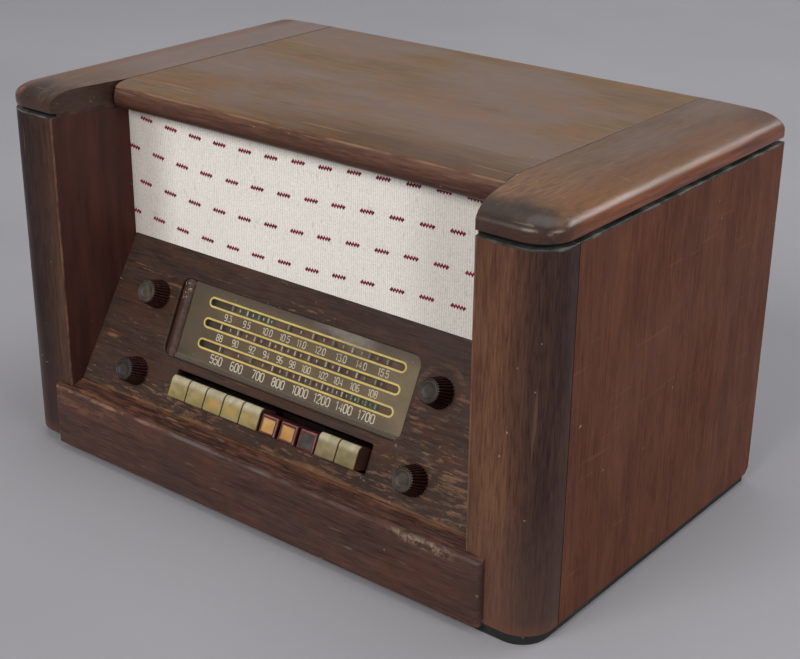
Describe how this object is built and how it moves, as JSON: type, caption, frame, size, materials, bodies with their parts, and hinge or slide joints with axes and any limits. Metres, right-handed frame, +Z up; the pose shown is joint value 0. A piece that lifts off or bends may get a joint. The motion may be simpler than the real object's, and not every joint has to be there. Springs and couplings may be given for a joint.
{
  "type": "table radio receiver",
  "caption": "Wooden table radio receiver with a sloped panel holding a three-scale dial, a row of push buttons and four knobs below a cloth grille.",
  "frame": {"origin": "centre of the set's outline, on the floor that it stands on", "axes": "+X to the right seen from the front, +Y from front to back, +Z up"},
  "size_m": [0.52, 0.3204, 0.3095],
  "materials": {
    "post_wood": "dark red-brown varnish, worn, with a purple-dark stripe on the rounded corner",
    "side_wood": "reddish brown varnish with vertical grain and scratches",
    "cap_wood": "worn olive-brown top, glossy orange-brown rounded edge",
    "top_wood": "worn olive-brown varnish with grain along the width",
    "ledge_black": "dark green-grey, dull",
    "rail_wood": "dark brown varnish, rubbed through along its edges",
    "panel_wood": "very dark brown varnish, worn to orange-brown near the rail",
    "plain_wood": "unfinished plywood",
    "grille_fabric": "cream ribbed weave with rows of small dark red dashes",
    "base_black": "black stain, dull",
    "back_board": "brown fibreboard",
    "screw_steel": "zinc plated",
    "rubber_black": "dull",
    "dial_glass": "slightly yellowed",
    "dial_print": "khaki, with off-white figures and yellow window outlines",
    "strip_brown": "dark brown with gilt specks",
    "dial_dark": "black, dull",
    "pointer_brass": "thin, lacquered",
    "lamp_glass": "clear",
    "plated_steel": "plated, aged",
    "button_ivory": "yellowed ivory",
    "button_ivory_grey": "greyer ivory",
    "button_red": "dark red with an amber window",
    "button_dark_red": "dark red",
    "knob_maroon": "dark maroon, fluted, with a ringed grey face",
    "shaft_steel": "turned",
    "switch_board": "brown laminated paper",
    "drum_brass": "dull",
    "vane_aluminium": "dull",
    "transformer_black": "black",
    "valve_glass": "clear, silvered at the top",
    "basket_grey": "grey",
    "cone_paper": "black-brown paper",
    "magnet_iron": "dull grey"
  },
  "bodies": {
    "cabinet": {"left_post": "post_wood", "right_post": "post_wood", "left_side_panel": "side_wood", "right_side_panel": "side_wood", "left_cap": "cap_wood", "right_cap": "cap_wood", "cap_ledges": "ledge_black", "top_panel": "top_wood", "front_rail": "rail_wood", "control_panel": "panel_wood", "grille_board": "plain_wood", "grille_cloth": "grille_fabric", "base_board": "base_black", "back_cleats": "plain_wood", "back_cover": "back_board", "back_cover_screws": "screw_steel", "cord_grommet": "rubber_black", "dial_glass": "dial_glass", "dial_plate": "dial_print", "dial_end_strip": "strip_brown", "dial_backplate": "dial_dark", "pointer_rail": "plated_steel", "lamp_holders": "pointer_brass", "dial_lamps": "lamp_glass", "button_bank": "plated_steel", "potentiometers": "plated_steel", "band_switch": "switch_board", "tuning_bearing": "plated_steel", "capacitor_frame": "vane_aluminium", "capacitor_stator": "vane_aluminium", "chassis": "plated_steel", "transformers": "transformer_black", "valve_sockets": "switch_board", "valves": "valve_glass", "shield_cans": "vane_aluminium", "speaker_basket": "basket_grey", "speaker_cone": "cone_paper", "speaker_magnet": "magnet_iron", "loop_antenna": "switch_board"},
    "volume_control_body": {"volume_knob": "knob_maroon", "volume_shaft": "shaft_steel"},
    "tone_control_body": {"tone_knob": "knob_maroon", "tone_shaft": "shaft_steel"},
    "band_control_body": {"band_knob": "knob_maroon", "band_shaft": "shaft_steel"},
    "tuning_control_body": {"tuning_knob": "knob_maroon", "tuning_shaft": "shaft_steel"},
    "gang_body": {"capacitor_rotor": "vane_aluminium", "dial_drum": "drum_brass"},
    "pointer_body": {"dial_pointer": "pointer_brass"},
    "button_1_body": {"push_button_1": "button_ivory"},
    "button_2_body": {"push_button_2": "button_ivory"},
    "button_3_body": {"push_button_3": "button_ivory"},
    "button_4_body": {"push_button_4": "button_ivory"},
    "button_5_body": {"push_button_5": "button_ivory"},
    "button_6_body": {"push_button_6": "button_red"},
    "button_7_body": {"push_button_7": "button_red"},
    "button_8_body": {"push_button_8": "button_dark_red"},
    "button_9_body": {"push_button_9": "button_ivory"},
    "button_10_body": {"push_button_10": "button_ivory_grey"}
  },
  "joints": [
    {"name": "volume_knob_turn", "type": "hinge", "parent": "cabinet", "child": "volume_control_body", "pos_m": [-0.1428, -0.11323, 0.14643], "axis": [0, 0.8967, -0.4426], "range_deg": [0, 300]},
    {"name": "tone_knob_turn", "type": "hinge", "parent": "cabinet", "child": "tone_control_body", "pos_m": [-0.1428, -0.14191, 0.08832], "axis": [0, 0.8967, -0.4426], "range_deg": [0, 300]},
    {"name": "band_knob_turn", "type": "hinge", "parent": "cabinet", "child": "band_control_body", "pos_m": [0.1428, -0.14191, 0.08832], "axis": [0, 0.8967, -0.4426], "range_deg": [0, 90]},
    {"name": "tuning_knob_turn", "type": "hinge", "parent": "cabinet", "child": "tuning_control_body", "pos_m": [0.1428, -0.11323, 0.14643], "axis": [0, 0.8967, -0.4426], "range_deg": [0, 1800]},
    {"name": "capacitor_turn", "type": "hinge", "parent": "cabinet", "child": "gang_body", "pos_m": [0.02, -0.05175, 0.0915], "axis": [0, 1, 0], "range_deg": [0, 180]},
    {"name": "pointer_slide", "type": "slide", "parent": "cabinet", "child": "pointer_body", "axis": [1, 0, 0], "range_m": [0, 0.1885]},
    {"name": "push_button_1_press", "type": "slide", "parent": "cabinet", "child": "button_1_body", "axis": [0, 0.8967, -0.4426], "range_m": [0, 0.007], "stiffness_N_per_m": 300, "springref_m": -0.004},
    {"name": "push_button_2_press", "type": "slide", "parent": "cabinet", "child": "button_2_body", "axis": [0, 0.8967, -0.4426], "range_m": [0, 0.007], "stiffness_N_per_m": 300, "springref_m": -0.004},
    {"name": "push_button_3_press", "type": "slide", "parent": "cabinet", "child": "button_3_body", "axis": [0, 0.8967, -0.4426], "range_m": [0, 0.007], "stiffness_N_per_m": 300, "springref_m": -0.004},
    {"name": "push_button_4_press", "type": "slide", "parent": "cabinet", "child": "button_4_body", "axis": [0, 0.8967, -0.4426], "range_m": [0, 0.007], "stiffness_N_per_m": 300, "springref_m": -0.004},
    {"name": "push_button_5_press", "type": "slide", "parent": "cabinet", "child": "button_5_body", "axis": [0, 0.8967, -0.4426], "range_m": [0, 0.007], "stiffness_N_per_m": 300, "springref_m": -0.004},
    {"name": "push_button_6_press", "type": "slide", "parent": "cabinet", "child": "button_6_body", "axis": [0, 0.8967, -0.4426], "range_m": [0, 0.007], "stiffness_N_per_m": 300, "springref_m": -0.004},
    {"name": "push_button_7_press", "type": "slide", "parent": "cabinet", "child": "button_7_body", "axis": [0, 0.8967, -0.4426], "range_m": [0, 0.007], "stiffness_N_per_m": 300, "springref_m": -0.004},
    {"name": "push_button_8_press", "type": "slide", "parent": "cabinet", "child": "button_8_body", "axis": [0, 0.8967, -0.4426], "range_m": [0, 0.007], "stiffness_N_per_m": 300, "springref_m": -0.004},
    {"name": "push_button_9_press", "type": "slide", "parent": "cabinet", "child": "button_9_body", "axis": [0, 0.8967, -0.4426], "range_m": [0, 0.007], "stiffness_N_per_m": 300, "springref_m": -0.004},
    {"name": "push_button_10_press", "type": "slide", "parent": "cabinet", "child": "button_10_body", "axis": [0, 0.8967, -0.4426], "range_m": [0, 0.007], "stiffness_N_per_m": 300, "springref_m": -0.004}
  ],
  "couplings": [
    {"joint": "tuning_knob_turn", "follows": "capacitor_turn", "ratio": 10},
    {"joint": "pointer_slide", "follows": "capacitor_turn", "m_per_rad": 0.06}
  ]
}
